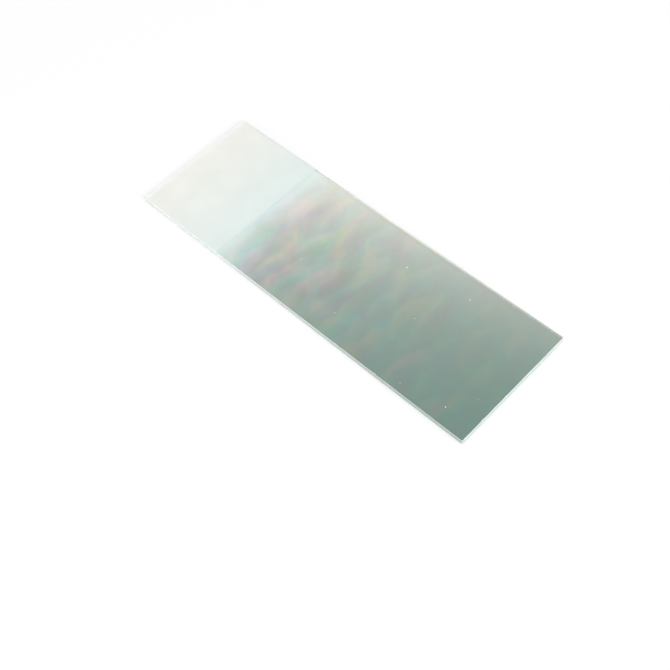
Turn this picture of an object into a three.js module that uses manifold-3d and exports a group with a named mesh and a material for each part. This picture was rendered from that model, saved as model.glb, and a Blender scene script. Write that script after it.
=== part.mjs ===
// Microscope slide: a flat rectangle of clear glass, ground along its edges, with one frosted end.
// Millimetres. The slide lies on the plane Z = 0, with its centre over the origin.
// X runs along its length towards the clear end, Y runs across it, and Z points up.

import * as THREE from "three";
import { mergeVertices } from "three/addons/utils/BufferGeometryUtils.js";
import Module from "manifold-3d";

const wasm = await Module();
wasm.setup();

// The sheet: 3 by 1 inches of drawn glass.
const slideLength = 76.2;
const slideWidth = 25.4;
const slideThickness = 1.0;

// The edges: a fine 45 degree flat ground along every edge of both faces, and corners dubbed round in plan.
const edgeChamfer = 0.1;
const cornerRadius = 0.3;
const cornerSteps = 8;

// The writing field: the upper face ground matt across the whole width at one end.
const frostedLength = 20;
const groundDepth = 0.02;

// How far the grinding tool runs past the glass, so that its cut is clean.
const toolOverrun = 1;

/** The slide's outline from above: a rectangle centred on the origin, with quarter circles for corners. */
function outlineShape() {
  const x = slideLength / 2 - cornerRadius;
  const y = slideWidth / 2 - cornerRadius;
  const quarter = Math.PI / 2;
  const outline = new THREE.Shape();
  outline.moveTo(x, -y - cornerRadius);
  outline.absarc(x, -y, cornerRadius, -quarter, 0);
  outline.absarc(x, y, cornerRadius, 0, quarter);
  outline.absarc(-x, y, cornerRadius, quarter, 2 * quarter);
  outline.absarc(-x, -y, cornerRadius, 2 * quarter, 3 * quarter);
  return outline;
}

/** The cut sheet: the outline at full thickness, with the flat ground along the edges of both faces. */
function sheetGeometry() {
  const geometry = new THREE.ExtrudeGeometry(outlineShape(), {
    depth: slideThickness - 2 * edgeChamfer,
    curveSegments: cornerSteps,
    bevelEnabled: true,
    bevelSegments: 1,
    bevelThickness: edgeChamfer,
    bevelSize: edgeChamfer,
    bevelOffset: -edgeChamfer,
  });
  return geometry.translate(0, 0, edgeChamfer);
}

/** What the frosting grinds away: a thin layer off the upper face, from the end to the field's border. */
function frostingCutGeometry() {
  const cutLength = frostedLength + toolOverrun;
  const cutHeight = groundDepth + toolOverrun;
  const geometry = new THREE.BoxGeometry(cutLength, slideWidth + 2 * toolOverrun, cutHeight);
  const borderX = frostedLength - slideLength / 2;
  return geometry.translate(borderX - cutLength / 2, 0, slideThickness - groundDepth + cutHeight / 2);
}

/** A closed geometry as a solid that can be cut. */
function toSolid(geometry) {
  const bare = geometry.clone();
  bare.deleteAttribute("normal");
  bare.deleteAttribute("uv");
  const merged = mergeVertices(bare);
  const mesh = new wasm.Mesh({
    numProp: 3,
    vertProperties: merged.attributes.position.array,
    triVerts: new Uint32Array(merged.index.array),
  });
  return new wasm.Manifold(mesh);
}

/** A cut solid as a geometry, with flat faces. */
function toGeometry(solid) {
  const mesh = solid.getMesh();
  const indexed = new THREE.BufferGeometry();
  indexed.setAttribute("position", new THREE.BufferAttribute(mesh.vertProperties, 3));
  indexed.setIndex(new THREE.BufferAttribute(mesh.triVerts, 1));
  const geometry = indexed.toNonIndexed();
  geometry.computeVertexNormals();
  return geometry;
}

// Soda-lime glass, colourless through its faces and grey-green where it is seen at a slant.
const sodaLimeGlass = new THREE.MeshStandardMaterial({
  color: 0xa9bbb2,
  roughness: 0.05,
  metalness: 0,
  transparent: true,
  opacity: 0.6,
});

/** The slide: one piece of glass, cut from sheet, ground along its edges and then frosted at one end. */
function glassSlide() {
  const slide = toSolid(sheetGeometry()).subtract(toSolid(frostingCutGeometry()));
  const mesh = new THREE.Mesh(toGeometry(slide), sodaLimeGlass);
  mesh.name = "glass_slide";
  return mesh;
}

const microscopeSlide = new THREE.Group();
microscopeSlide.add(glassSlide());

export default microscopeSlide;
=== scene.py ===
import math
import random

import bmesh
import bpy
from mathutils import Matrix, Vector, noise


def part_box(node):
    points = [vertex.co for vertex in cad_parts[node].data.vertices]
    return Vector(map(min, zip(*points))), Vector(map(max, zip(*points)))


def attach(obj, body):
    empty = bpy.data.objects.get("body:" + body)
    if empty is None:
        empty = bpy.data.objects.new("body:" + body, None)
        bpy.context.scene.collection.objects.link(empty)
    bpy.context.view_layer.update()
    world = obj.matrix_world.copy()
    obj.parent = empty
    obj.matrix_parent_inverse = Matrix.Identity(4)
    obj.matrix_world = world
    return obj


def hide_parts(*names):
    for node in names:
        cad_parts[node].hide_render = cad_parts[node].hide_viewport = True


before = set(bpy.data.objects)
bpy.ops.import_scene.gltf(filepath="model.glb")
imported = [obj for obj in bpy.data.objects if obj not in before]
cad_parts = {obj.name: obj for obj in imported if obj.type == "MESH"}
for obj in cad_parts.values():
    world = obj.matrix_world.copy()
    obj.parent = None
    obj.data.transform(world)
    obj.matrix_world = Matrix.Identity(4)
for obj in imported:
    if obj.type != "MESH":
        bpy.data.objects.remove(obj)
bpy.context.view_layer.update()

# ---------------------------------------------------------------------------------------------
# The slide. One rectangle of thin soda-lime glass, scored and snapped from drawn sheet. A wheel
# then grinds a fine 45 degree flat along every edge of both faces and dubs the four corners
# round, and one end of the upper face is ground matt as a field to write on.
# ---------------------------------------------------------------------------------------------
MM = 0.001
CORNER_RADIUS = 0.3 * MM
CORNER_SEGMENTS = 6
EDGE_CHAMFER = 0.1 * MM
FROSTED_LENGTH = 20 * MM
GROUND_DEPTH = 0.02 * MM

low, high = (Vector(corner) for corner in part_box("glass_slide"))
size = high - low
centre = (low + high) / 2
border_x = low.x + FROSTED_LENGTH
tiny = 0.001 * MM

bm = bmesh.new()
bmesh.ops.create_cube(bm, size=1)
bmesh.ops.scale(bm, vec=size, verts=bm.verts)
bmesh.ops.translate(bm, vec=centre, verts=bm.verts)

uprights = [e for e in bm.edges if abs(e.verts[0].co.z - e.verts[1].co.z) > tiny]
bmesh.ops.bevel(
    bm,
    geom=uprights,
    affect="EDGES",
    offset=CORNER_RADIUS,
    segments=CORNER_SEGMENTS,
    profile=0.5,
    material=-1,
)
rims = [e for e in bm.edges if abs(e.verts[0].co.z - e.verts[1].co.z) < tiny]
bmesh.ops.bevel(
    bm,
    geom=rims,
    affect="EDGES",
    offset=EDGE_CHAMFER,
    segments=1,
    profile=0.5,
    material=-1,
)

# The long runs of the edges are divided, so that they can be a little uneven.
WHEEL_STEP = 0.21 * MM
LONG_RUN_SHARE = 0.9
for axis in (0, 1):
    runs = []
    for e in bm.edges:
        if abs(e.verts[0].co[axis] - e.verts[1].co[axis]) > LONG_RUN_SHARE * size[axis]:
            runs.append(e)
    cuts = round(size[axis] / WHEEL_STEP) - 1
    bmesh.ops.subdivide_edges(bm, edges=runs, cuts=cuts, use_grid_fill=True)

# The field's border goes straight across, with a step down to the depth of the grinding.
for x in (border_x, border_x + GROUND_DEPTH):
    everything = bm.verts[:] + bm.edges[:] + bm.faces[:]
    bmesh.ops.bisect_plane(bm, geom=everything, dist=tiny, plane_co=(x, 0, 0), plane_no=(1, 0, 0))

# The wheel wanders by up to two hundredths of a millimetre, and handling chips the sharp arrises.
EDGE_BAND = 0.3 * MM
WHEEL_WANDER = 0.02 * MM
WANDER_LENGTH = 2.5 * MM
UPPER_EDGE_SLICE = 9
CHIP_COUNT = 34
CHIP_DEPTH = (0.02 * MM, 0.08 * MM)
CHIP_WIDTH = (0.15 * MM, 0.4 * MM)
UPPER_CHIP_SHARE = 0.6

random.seed(7)
chips = []
for _ in range(CHIP_COUNT):
    spot = Vector((random.uniform(low.x, high.x), random.choice((low.y, high.y)), 0))
    if random.random() < size.y / (size.x + size.y):
        spot = Vector((random.choice((low.x, high.x)), random.uniform(low.y, high.y), 0))
    spot.z = high.z if random.random() < UPPER_CHIP_SHARE else low.z
    chips.append((spot, random.uniform(*CHIP_DEPTH), random.uniform(*CHIP_WIDTH)))

for v in bm.verts:
    gaps = (v.co.x - low.x, high.x - v.co.x, v.co.y - low.y, high.y - v.co.y)
    inset = min(gaps)
    upper = v.co.z > centre.z
    on_face = min(v.co.z - low.z, high.z - v.co.z) < tiny
    if inset > EDGE_BAND:
        continue
    wander = WHEEL_WANDER * noise.noise(v.co / WANDER_LENGTH + Vector((0, 0, UPPER_EDGE_SLICE * upper)))
    if on_face:
        bite = 0.0
        for spot, depth, width in chips:
            bite = max(bite, depth * (1 - ((v.co - spot).length - inset) ** 2 / width**2))
        inward = Vector(((1, 0, 0), (-1, 0, 0), (0, 1, 0), (0, -1, 0))[gaps.index(inset)])
        v.co += inward * (wander + bite)
    elif inset < tiny:
        v.co.z += -wander if upper else wander

for v in bm.verts:
    if high.z - v.co.z < tiny and v.co.x < border_x + tiny:
        v.co.z -= GROUND_DEPTH

CLEAR, FROSTED, GROUND = 0, 1, 2
LEVEL = 0.99
bm.normal_update()
for face in bm.faces:
    if abs(face.normal.z) < LEVEL:
        face.material_index = GROUND
    elif face.normal.z > 0 and face.calc_center_median().x < border_x + GROUND_DEPTH:
        face.material_index = FROSTED
    else:
        face.material_index = CLEAR

mesh = bpy.data.meshes.new("slide_glass")
bm.to_mesh(mesh)
bm.free()
slide = bpy.data.objects.new("slide_glass", mesh)
bpy.context.collection.objects.link(slide)


def linear(hex_colour):
    """A hex sRGB colour as linear RGBA."""
    channels = [int(hex_colour[i : i + 2], 16) / 255 for i in (1, 3, 5)]
    return (*[c / 12.92 if c <= 0.04045 else ((c + 0.055) / 1.055) ** 2.4 for c in channels], 1)


def add_node(tree, kind, inputs=None, **properties):
    """Adds a node. An input that is given an output of another node is linked, and any other is set."""
    node = tree.nodes.new("ShaderNode" + kind)
    for name, value in properties.items():
        setattr(node, name, value)
    for name, value in (inputs or {}).items():
        if isinstance(value, bpy.types.NodeSocket):
            tree.links.new(value, node.inputs[name])
        else:
            node.inputs[name].default_value = value
    return node


def start_material(name):
    """A material with an empty node tree, and its Object coordinates."""
    material = bpy.data.materials.new(name)
    material.use_nodes = True
    material.node_tree.nodes.clear()
    place = add_node(material.node_tree, "TexCoord").outputs["Object"]
    return material, material.node_tree, place


SODA_LIME_IOR = 1.52
# Nearly all of a noise texture's values lie between these two.
NOISE_LOW, NOISE_HIGH = 0.3, 0.7

# Polished soda-lime glass, as drawn: smooth and clear, with the grey-green cast of its iron. A film
# a few hundred nanometres thick has dried on it in smears across the slide. Its faint pastel colours
# are also painted into the glass as a painted iridescent sheen, which drifts between three pairs of
# tints. The glass is painted paler beside the frosted end, a painted glow for light that the end
# scatters into the sheet: almost white at the border, deepening as that painted glow dies away.
SMEAR_WIDTH = 3.4 * MM
SMEAR_LENGTH = 7.0 * MM
SMEAR_LEAN = math.radians(-2)
SMEAR_SLICE = 32
FILM_NANOMETRES = (290, 530)
FILM_IOR = 1.56
PAINTED_IRIDESCENT_TINTS = (
    # channel of the noise, share of the mix, the two tints that it drifts between
    ("X", 1.0, "#7EB1A7", "#F0DBD5"),
    ("Y", 0.35, "#EC86A8", "#85F4D4"),
    ("Z", 0.2, "#CDE07B", "#B5A9ED"),
)
DEEP_TINT = "#618277"
PAINTED_GLOW_REACH = 22 * MM
BORDER_PAINTED_GLOW = "#E3F6F6"
BORDER_GLOW_REACH = 2.4 * MM
BORDER_GLOW_SHARE = 0.68

clear_glass, tree, place = start_material("polished_soda_lime_glass")
axes = add_node(tree, "SeparateXYZ", {"Vector": place})
smear_place = add_node(
    tree,
    "Mapping",
    {
        "Vector": place,
        "Location": (0, 0, SMEAR_SLICE),
        "Rotation": (0, 0, SMEAR_LEAN),
        "Scale": (SMEAR_WIDTH, SMEAR_LENGTH, 1),
    },
    vector_type="TEXTURE",
)
smear = add_node(
    tree,
    "TexNoise",
    {"Vector": smear_place.outputs[0], "Scale": 1, "Detail": 2, "Roughness": 0.5, "Distortion": 0.2},
)
film = add_node(
    tree,
    "MapRange",
    {
        "Value": smear.outputs["Fac"],
        "From Min": NOISE_LOW,
        "From Max": NOISE_HIGH,
        "To Min": FILM_NANOMETRES[0],
        "To Max": FILM_NANOMETRES[1],
    },
)
drift = add_node(
    tree,
    "MapRange",
    {"Vector": smear.outputs["Color"], 7: (NOISE_LOW,) * 3, 8: (NOISE_HIGH,) * 3},
    data_type="FLOAT_VECTOR",
)
drift = add_node(tree, "SeparateXYZ", {"Vector": drift.outputs["Vector"]})
painted_iridescence = linear(DEEP_TINT)
# Pastel tints painted into the glass colour: a painted iridescent sheen.
for channel, share, first, second in PAINTED_IRIDESCENT_TINTS:
    tint = add_node(
        tree, "Mix", {0: drift.outputs[channel], 6: linear(first), 7: linear(second)}, data_type="RGBA"
    )
    painted_iridescence = add_node(
        tree, "Mix", {0: share, 6: painted_iridescence, 7: tint.outputs[2]}, data_type="RGBA"
    ).outputs[2]

# A cream sheen is painted along one long edge, strongest where it meets the frosted end. At the
# edge itself a narrow white rim is a painted highlight, and it hardly lets light through. The rim
# builds up away from the frosted end, and then thins out towards the clear end.
PAINTED_SHEEN_TINT = "#F8F2E4"
PAINTED_SHEEN_REACH = 9.5 * MM
PAINTED_SHEEN_SHARE = 0.67
PAINTED_SHEEN_LEAN = 0.2
PAINTED_RIM_HIGHLIGHT = "#F6FBF4"
RIM_WIDTH = 0.3 * MM
RIM_BLUR = 0.25 * MM
RIM_SHARES = (1.0, 0.45)
RIM_RISE = 18 * MM
RIM_START = 0.45

to_edge = add_node(
    tree,
    "Math",
    {0: axes.outputs["X"], 1: -PAINTED_SHEEN_LEAN, 2: axes.outputs["Y"]},
    operation="MULTIPLY_ADD",
)
corner = high.y - PAINTED_SHEEN_LEAN * border_x
body = linear(DEEP_TINT)
# Painted light: the paleness from the frosted end and the border tint are painted glow, and the haze
# along the long edge is painted sheen.
for position, source, reach, share, tint in (
    (axes.outputs["X"], border_x, PAINTED_GLOW_REACH, 1.0, painted_iridescence),
    (to_edge.outputs[0], corner, -PAINTED_SHEEN_REACH, PAINTED_SHEEN_SHARE, linear(PAINTED_SHEEN_TINT)),
    (axes.outputs["X"], border_x, BORDER_GLOW_REACH, BORDER_GLOW_SHARE, linear(BORDER_PAINTED_GLOW)),
):
    # Each tint has its share at its source, and falls to 1/e of that over its reach.
    power = add_node(
        tree,
        "MapRange",
        {
            "Value": position,
            "From Min": source,
            "From Max": source + reach,
            "To Min": math.log(share),
            "To Max": math.log(share) - 1,
        },
        clamp=False,
    )
    left = add_node(tree, "Math", {0: power.outputs[0]}, operation="EXPONENT", use_clamp=True)
    body = add_node(tree, "Mix", {0: left.outputs[0], 6: body, 7: tint}, data_type="RGBA").outputs[2]

rim_share = add_node(
    tree,
    "MapRange",
    {
        "Value": axes.outputs["X"],
        "From Min": border_x,
        "From Max": high.x,
        "To Min": RIM_SHARES[0],
        "To Max": RIM_SHARES[1],
    },
)
rim_rise = add_node(
    tree,
    "MapRange",
    {
        "Value": axes.outputs["X"],
        "From Min": border_x,
        "From Max": border_x + RIM_RISE,
        "To Min": RIM_START,
    },
)
rim_share = add_node(
    tree, "Math", {0: rim_share.outputs[0], 1: rim_rise.outputs[0]}, operation="MULTIPLY"
)
rim = add_node(
    tree,
    "MapRange",
    {
        "Value": axes.outputs["Y"],
        "From Min": high.y - RIM_WIDTH - RIM_BLUR,
        "From Max": high.y - RIM_WIDTH,
        "To Max": rim_share.outputs[0],
    },
    interpolation_type="SMOOTHSTEP",
)
above = add_node(tree, "Math", {0: axes.outputs["Z"], 1: centre.z}, operation="GREATER_THAN")
rim = add_node(tree, "Math", {0: rim.outputs[0], 1: above.outputs[0]}, operation="MULTIPLY")
# The white rim along the long edge is a painted highlight.
body = add_node(
    tree, "Mix", {0: rim.outputs[0], 6: body, 7: linear(PAINTED_RIM_HIGHLIGHT)}, data_type="RGBA"
).outputs[2]

# A few specks of dust lie on the upper face, about one to a square centimetre.
SPECK_SPACING = 11 * MM
SPECK_RADIUS = (0.03 * MM, 0.11 * MM)
SPECK_ROUGHNESS = 0.25 * MM
SPECK_COLOUR = "#E6EAE2"

ragged = add_node(tree, "TexNoise", {"Vector": place, "Scale": 1 / SPECK_ROUGHNESS, "Detail": 1})
ragged = add_node(
    tree,
    "VectorMath",
    {0: ragged.outputs["Color"], 1: (SPECK_ROUGHNESS,) * 3, 2: place},
    operation="MULTIPLY_ADD",
)
speck_place = add_node(
    tree,
    "Mapping",
    {"Vector": ragged.outputs[0], "Scale": (SPECK_SPACING, SPECK_SPACING, 1)},
    vector_type="TEXTURE",
)
dust = add_node(
    tree, "TexVoronoi", {"Vector": speck_place.outputs[0], "Scale": 1}, voronoi_dimensions="2D"
)
chance = add_node(tree, "SeparateXYZ", {"Vector": dust.outputs["Color"]})
radius = add_node(
    tree,
    "MapRange",
    {
        "Value": chance.outputs["X"],
        "To Min": SPECK_RADIUS[0] / SPECK_SPACING,
        "To Max": SPECK_RADIUS[1] / SPECK_SPACING,
    },
)
inside = add_node(
    tree, "Math", {0: dust.outputs["Distance"], 1: radius.outputs[0]}, operation="LESS_THAN"
)
speck = add_node(tree, "Math", {0: inside.outputs[0], 1: above.outputs[0]}, operation="MULTIPLY")
body = add_node(tree, "Mix", {0: speck.outputs[0], 6: body, 7: linear(SPECK_COLOUR)}, data_type="RGBA")
# Dust specks and the painted rim highlight both take away transmission.
dust_and_rim_highlight = add_node(tree, "Math", {0: speck.outputs[0], 1: rim.outputs[0]}, operation="MAXIMUM")
clearness = add_node(tree, "Math", {0: 1.0, 1: dust_and_rim_highlight.outputs[0]}, operation="SUBTRACT")
surface = add_node(
    tree,
    "BsdfPrincipled",
    {
        "Base Color": body.outputs[2],
        "Roughness": 0.0,
        "IOR": SODA_LIME_IOR,
        "Transmission Weight": clearness.outputs[0],
        "Thin Film Thickness": film.outputs[0],
        "Thin Film IOR": FILM_IOR,
    },
)
add_node(tree, "OutputMaterial", {"Surface": surface.outputs[0]})

# Ground glass: the same glass cut matt with fine grit, milky white from its tiny pits. Just before
# the border the pits thin out, and bare glass shows between them. The millimetre beside the ground
# end is painted paler still, a painted glow for light caught in the ground end. Real pits are a few
# hundredths of a millimetre wide, and these are drawn three times as wide, so that they show.
GRIT_SIZE = 0.1 * MM
GRIT_DEPTH = 0.02 * MM
PIT_STRENGTH = 0.35
PIT_UNEVENNESS = 0.5
CLOUD_SIZE = 6 * MM
CLOUD_SHADES = (0.97, 1.03)
CREAM_LENGTH = 4 * MM
FROSTED_END, FROSTED_BORDER = "#F0EFE8", "#E0EBE8"
PAINTED_GLOW_STRIP = (0.3 * MM, 1.2 * MM)
FROSTED_EDGE_PAINTED_GLOW = "#FFFFFD"
THINNING_LENGTH = 0.8 * MM
HALF_BARE, BARE_BLUR = 0.5, 0.1
BARE_GLASS = "#DCE8E2"
FROSTED_ROUGHNESS = 0.6
FROSTED_CLEARNESS = 0.25

frosted_glass, tree, place = start_material("frosted_ground_glass")
axes = add_node(tree, "SeparateXYZ", {"Vector": place})
grit = add_node(
    tree, "TexNoise", {"Vector": place, "Scale": 1 / GRIT_SIZE, "Detail": 3, "Roughness": 0.7}
)
cloud = add_node(tree, "TexNoise", {"Vector": place, "Scale": 1 / CLOUD_SIZE, "Detail": 3})
to_border = add_node(
    tree,
    "MapRange",
    {"Value": axes.outputs["X"], "From Min": low.x + CREAM_LENGTH, "From Max": border_x},
)
shade = add_node(
    tree,
    "Mix",
    {0: to_border.outputs[0], 6: linear(FROSTED_END), 7: linear(FROSTED_BORDER)},
    data_type="RGBA",
)
cloudy = add_node(
    tree,
    "MapRange",
    {
        "Value": cloud.outputs["Fac"],
        "From Min": NOISE_LOW,
        "From Max": NOISE_HIGH,
        "To Min": CLOUD_SHADES[0],
        "To Max": CLOUD_SHADES[1],
    },
)
milky = add_node(
    tree,
    "Mix",
    {0: 1.0, 6: shade.outputs[2], 7: cloudy.outputs[0]},
    data_type="RGBA",
    blend_type="MULTIPLY",
)
# The last millimetre of the frosted end is painted paler: a painted glow.
at_end = add_node(
    tree,
    "MapRange",
    {"Value": axes.outputs["X"], "From Min": low.x + PAINTED_GLOW_STRIP[1], "From Max": low.x + PAINTED_GLOW_STRIP[0]},
    interpolation_type="SMOOTHSTEP",
)
milky = add_node(
    tree, "Mix", {0: at_end.outputs[0], 6: milky.outputs[2], 7: linear(FROSTED_EDGE_PAINTED_GLOW)}, data_type="RGBA"
)
thinning = add_node(
    tree,
    "MapRange",
    {"Value": axes.outputs["X"], "From Min": border_x - THINNING_LENGTH, "From Max": border_x},
)
uneven = add_node(
    tree,
    "MapRange",
    {
        "Value": grit.outputs["Fac"],
        "From Min": NOISE_LOW,
        "From Max": NOISE_HIGH,
        "To Min": -PIT_UNEVENNESS,
        "To Max": PIT_UNEVENNESS,
    },
)
thinned = add_node(tree, "Math", {0: thinning.outputs[0], 1: uneven.outputs[0]}, operation="ADD")
bare = add_node(
    tree,
    "MapRange",
    {"Value": thinned.outputs[0], "From Min": HALF_BARE - BARE_BLUR, "From Max": HALF_BARE + BARE_BLUR},
)
colour = add_node(
    tree, "Mix", {0: bare.outputs[0], 6: milky.outputs[2], 7: linear(BARE_GLASS)}, data_type="RGBA"
)
matt = add_node(
    tree, "MapRange", {"Value": bare.outputs[0], "To Min": FROSTED_ROUGHNESS, "To Max": 0.0}
)
clearness = add_node(
    tree, "MapRange", {"Value": bare.outputs[0], "To Min": FROSTED_CLEARNESS, "To Max": 1.0}
)
pits = add_node(
    tree, "Bump", {"Height": grit.outputs["Fac"], "Strength": PIT_STRENGTH, "Distance": GRIT_DEPTH}
)
surface = add_node(
    tree,
    "BsdfPrincipled",
    {
        "Base Color": colour.outputs[2],
        "Roughness": matt.outputs[0],
        "IOR": SODA_LIME_IOR,
        "Transmission Weight": clearness.outputs[0],
        "Normal": pits.outputs[0],
    },
)
add_node(tree, "OutputMaterial", {"Surface": surface.outputs[0]})

# The wheel's flats: matt, with fine grinding lines along each edge, pale mint. A painted glow,
# for light that has run along inside the sheet and leaves through them, makes them brightest at the
# clear end and nearly white beside the frosted end. The painted sheen also whitens the long edge it
# lies along.
LINE_SPACING = 0.12 * MM
LINE_LENGTH = 4 * MM
FURROW_STRENGTH = 0.5
EDGE_MINTS = ("#B6C9BE", "#D0DAD2")
CLEAR_END_PAINTED_GLOW = "#DFF5EF"
END_SHARE = 0.8
END_BAND = 0.3 * MM
PAINTED_SHEEN_BAND = 3 * MM
EDGE_PAINTED_GLOW = "#FAFFFD"
EDGE_GLOW_LENGTH = 44 * MM
EDGE_ROUGHNESS = 0.45
EDGE_CLEARNESS = 0.3

ground_glass, tree, place = start_material("wheel_ground_glass_edge")
axes = add_node(tree, "SeparateXYZ", {"Vector": place})
line_place = add_node(
    tree,
    "Mapping",
    {"Vector": place, "Scale": (LINE_LENGTH, LINE_LENGTH, LINE_SPACING)},
    vector_type="TEXTURE",
)
lines = add_node(
    tree, "TexNoise", {"Vector": line_place.outputs[0], "Scale": 1, "Detail": 4, "Roughness": 0.7}
)
furrows = add_node(
    tree, "Bump", {"Height": lines.outputs["Fac"], "Strength": FURROW_STRENGTH, "Distance": GRIT_DEPTH}
)
mint = add_node(
    tree,
    "Mix",
    {0: lines.outputs["Fac"], 6: linear(EDGE_MINTS[0]), 7: linear(EDGE_MINTS[1])},
    data_type="RGBA",
).outputs[2]
# These three tints are painted light: a painted glow at the clear end, a painted sheen along one long
# edge, and a painted glow beside the frosted end.
for position, start, end, share, tint in (
    (axes.outputs["X"], high.x - END_BAND, high.x - EDGE_CHAMFER, END_SHARE, CLEAR_END_PAINTED_GLOW),
    (axes.outputs["Y"], high.y - PAINTED_SHEEN_BAND, high.y, PAINTED_SHEEN_SHARE, PAINTED_SHEEN_TINT),
    (axes.outputs["X"], border_x + EDGE_GLOW_LENGTH, border_x, 1.0, EDGE_PAINTED_GLOW),
):
    # Each tint takes over from the mint between its start and its end.
    taken = add_node(
        tree, "MapRange", {"Value": position, "From Min": start, "From Max": end, "To Max": share}
    )
    mint = add_node(
        tree, "Mix", {0: taken.outputs[0], 6: mint, 7: linear(tint)}, data_type="RGBA"
    ).outputs[2]
surface = add_node(
    tree,
    "BsdfPrincipled",
    {
        "Base Color": mint,
        "Roughness": EDGE_ROUGHNESS,
        "IOR": SODA_LIME_IOR,
        "Transmission Weight": EDGE_CLEARNESS,
        "Normal": furrows.outputs[0],
    },
)
add_node(tree, "OutputMaterial", {"Surface": surface.outputs[0]})

for material in (clear_glass, frosted_glass, ground_glass):
    mesh.materials.append(material)

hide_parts("glass_slide")
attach(slide, "root")

# ---------------------------------------------------------------------------------------------
# The bench. A pale matt table top that the slide lies on, lit up to white. Through the glass and
# in its gloss the bench shows as white too. It keeps the slide's shadow, which is faint, and further
# off it fades into the white of the room.
# ---------------------------------------------------------------------------------------------
BENCH_HALF_SIDE = 2.0
FADE_START, FADE_END = 0.15, 0.5
BENCH_GAP = 0.02 * MM
BENCH_COLOUR = "#F4F4F4"
BENCH_GLOW = 1.03
BENCH_GLOW_SHARE = 0.55
SEEN_THROUGH_GLASS = 0.95

bm = bmesh.new()
bmesh.ops.create_grid(bm, x_segments=1, y_segments=1, size=BENCH_HALF_SIDE)
bmesh.ops.translate(bm, vec=(0, 0, low.z - BENCH_GAP), verts=bm.verts)
mesh = bpy.data.meshes.new("bench")
bm.to_mesh(mesh)
bm.free()
bench = bpy.data.objects.new("bench", mesh)
bpy.context.collection.objects.link(bench)

bench_paint, tree, place = start_material("matt_white_bench_paint")
rays = add_node(tree, "LightPath")
paint = add_node(tree, "BsdfDiffuse", {"Color": linear(BENCH_COLOUR)})
away = add_node(tree, "VectorMath", {0: place}, operation="LENGTH")
glow_share, glow_level = (
    add_node(
        tree,
        "MapRange",
        {
            "Value": away.outputs["Value"],
            "From Min": FADE_START,
            "From Max": FADE_END,
            "To Min": near_slide,
            "To Max": 1.0,
        },
    )
    for near_slide in (BENCH_GLOW_SHARE, BENCH_GLOW)
)
glow = add_node(tree, "Emission", {"Strength": glow_level.outputs[0]})
white = add_node(tree, "Emission", {"Strength": SEEN_THROUGH_GLASS})
direct = add_node(
    tree,
    "Math",
    {0: rays.outputs["Is Camera Ray"], 1: rays.outputs["Is Glossy Ray"]},
    operation="MAXIMUM",
)
share = add_node(tree, "Math", {0: direct.outputs[0], 1: glow_share.outputs[0]}, operation="MULTIPLY")
seen = add_node(tree, "MixShader", {0: share.outputs[0], 1: paint.outputs[0], 2: glow.outputs[0]})
surface = add_node(
    tree, "MixShader", {0: rays.outputs["Is Transmission Ray"], 1: seen.outputs[0], 2: white.outputs[0]}
)
add_node(tree, "OutputMaterial", {"Surface": surface.outputs[0]})
mesh.materials.append(bench_paint)

# ---------------------------------------------------------------------------------------------
# The studio. An even pale room that shows as white, a wide softbox with a bright middle behind
# the slide, which its polished face mirrors, and two small ones by its clear end and its front.
# ---------------------------------------------------------------------------------------------
ROOM_LIGHT = 0.78
ROOM_WHITE = 1.0

world = bpy.data.worlds.new("studio")
bpy.context.scene.world = world
world.use_nodes = True
tree = world.node_tree
tree.nodes.clear()
rays = add_node(tree, "LightPath")
direct = add_node(
    tree,
    "Math",
    {0: rays.outputs["Is Camera Ray"], 1: rays.outputs["Is Glossy Ray"]},
    operation="MAXIMUM",
)
seen = add_node(
    tree, "Math", {0: direct.outputs[0], 1: rays.outputs["Is Transmission Ray"]}, operation="MAXIMUM"
)
level = add_node(
    tree, "MapRange", {"Value": seen.outputs[0], "To Min": ROOM_LIGHT, "To Max": ROOM_WHITE}
)
room = add_node(tree, "Background", {"Color": (1, 1, 1, 1), "Strength": level.outputs[0]})
add_node(tree, "OutputWorld", {"Surface": room.outputs[0]})

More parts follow.
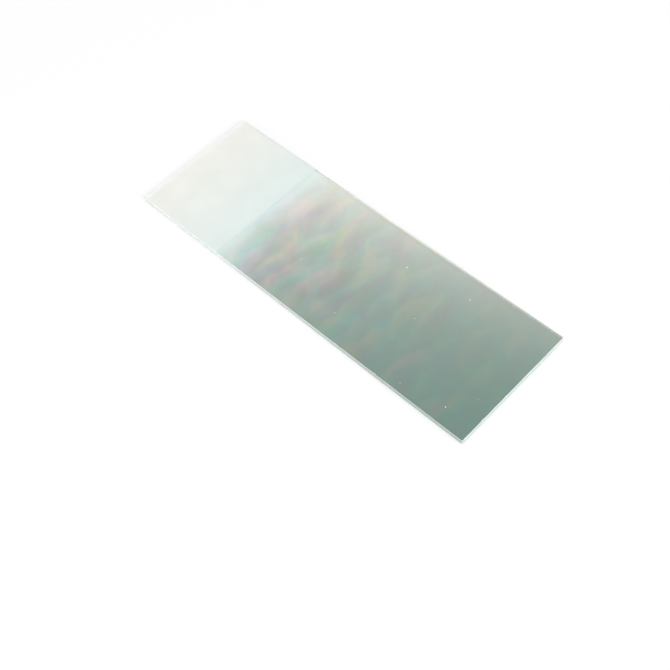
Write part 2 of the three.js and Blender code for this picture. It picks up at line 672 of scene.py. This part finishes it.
SOFTBOXES = (
    # name, direction from the slide, distance and diameter in metres, watts
    ("rear_softbox", (-0.40, 0.60, 0.70), 1.2, 0.9, 2.5),
    ("end_softbox", (1.0, 0.0, 0.7), 0.7, 0.5, 7.0),
    ("front_softbox", (-0.2, -1.0, 0.4), 0.7, 0.5, 2.4),
)
LAMP_MIDDLE = (0.5, 0.5, 0)
LAMP_RIM = 0.5
for name, direction, distance, diameter, watts in SOFTBOXES:
    lamp = bpy.data.lights.new(name, "AREA")
    lamp.shape = "DISK"
    lamp.size = diameter
    lamp.energy = watts
    softbox = bpy.data.objects.new(name, lamp)
    bpy.context.collection.objects.link(softbox)
    toward_lamp = Vector(direction).normalized()
    softbox.location = centre + toward_lamp * distance
    softbox.rotation_euler = toward_lamp.to_track_quat("Z", "Y").to_euler()
    lamp.use_nodes = True
    tree = lamp.node_tree
    tree.nodes.clear()
    on_lamp = add_node(tree, "NewGeometry")
    from_middle = add_node(
        tree, "VectorMath", {0: on_lamp.outputs["Parametric"], 1: LAMP_MIDDLE}, operation="DISTANCE"
    )
    falloff = add_node(
        tree,
        "MapRange",
        {"Value": from_middle.outputs["Value"], "From Min": LAMP_RIM, "From Max": 0.0},
        interpolation_type="SMOOTHSTEP",
    )
    glow = add_node(tree, "Emission", {"Strength": falloff.outputs[0]})
    add_node(tree, "OutputLight", {"Surface": glow.outputs[0]})

# ---------------------------------------------------------------------------------------------
# The camera. It looks down on the slide from its clear end, a little tilted, and close enough for
# the slide to narrow towards its frosted end.
# ---------------------------------------------------------------------------------------------
AZIMUTH = math.radians(50.6)
ELEVATION = math.radians(56.37)
ROLL = math.radians(-8.06)
DISTANCE = 183.3 * MM
AIM = Vector((9.07 * MM, -10.99 * MM, 0))
LENS = 59.1
SENSOR_WIDTH = 36
NEAREST = 10 * MM

camera_data = bpy.data.cameras.new("camera")
camera_data.sensor_width = SENSOR_WIDTH
camera_data.lens = LENS
camera_data.clip_start = NEAREST
camera = bpy.data.objects.new("camera", camera_data)
bpy.context.collection.objects.link(camera)
back = Matrix.Rotation(AZIMUTH, 3, "Z") @ Vector((0, -math.cos(ELEVATION), math.sin(ELEVATION)))
sideways = Vector((math.cos(AZIMUTH), math.sin(AZIMUTH), 0))
upright = Matrix((sideways, back.cross(sideways), back)).transposed().to_4x4()
pose = upright @ Matrix.Rotation(ROLL, 4, "Z")
pose.translation = AIM + back * DISTANCE
camera.matrix_world = pose
bpy.context.scene.camera = camera
bpy.context.scene.view_settings.view_transform = "Standard"
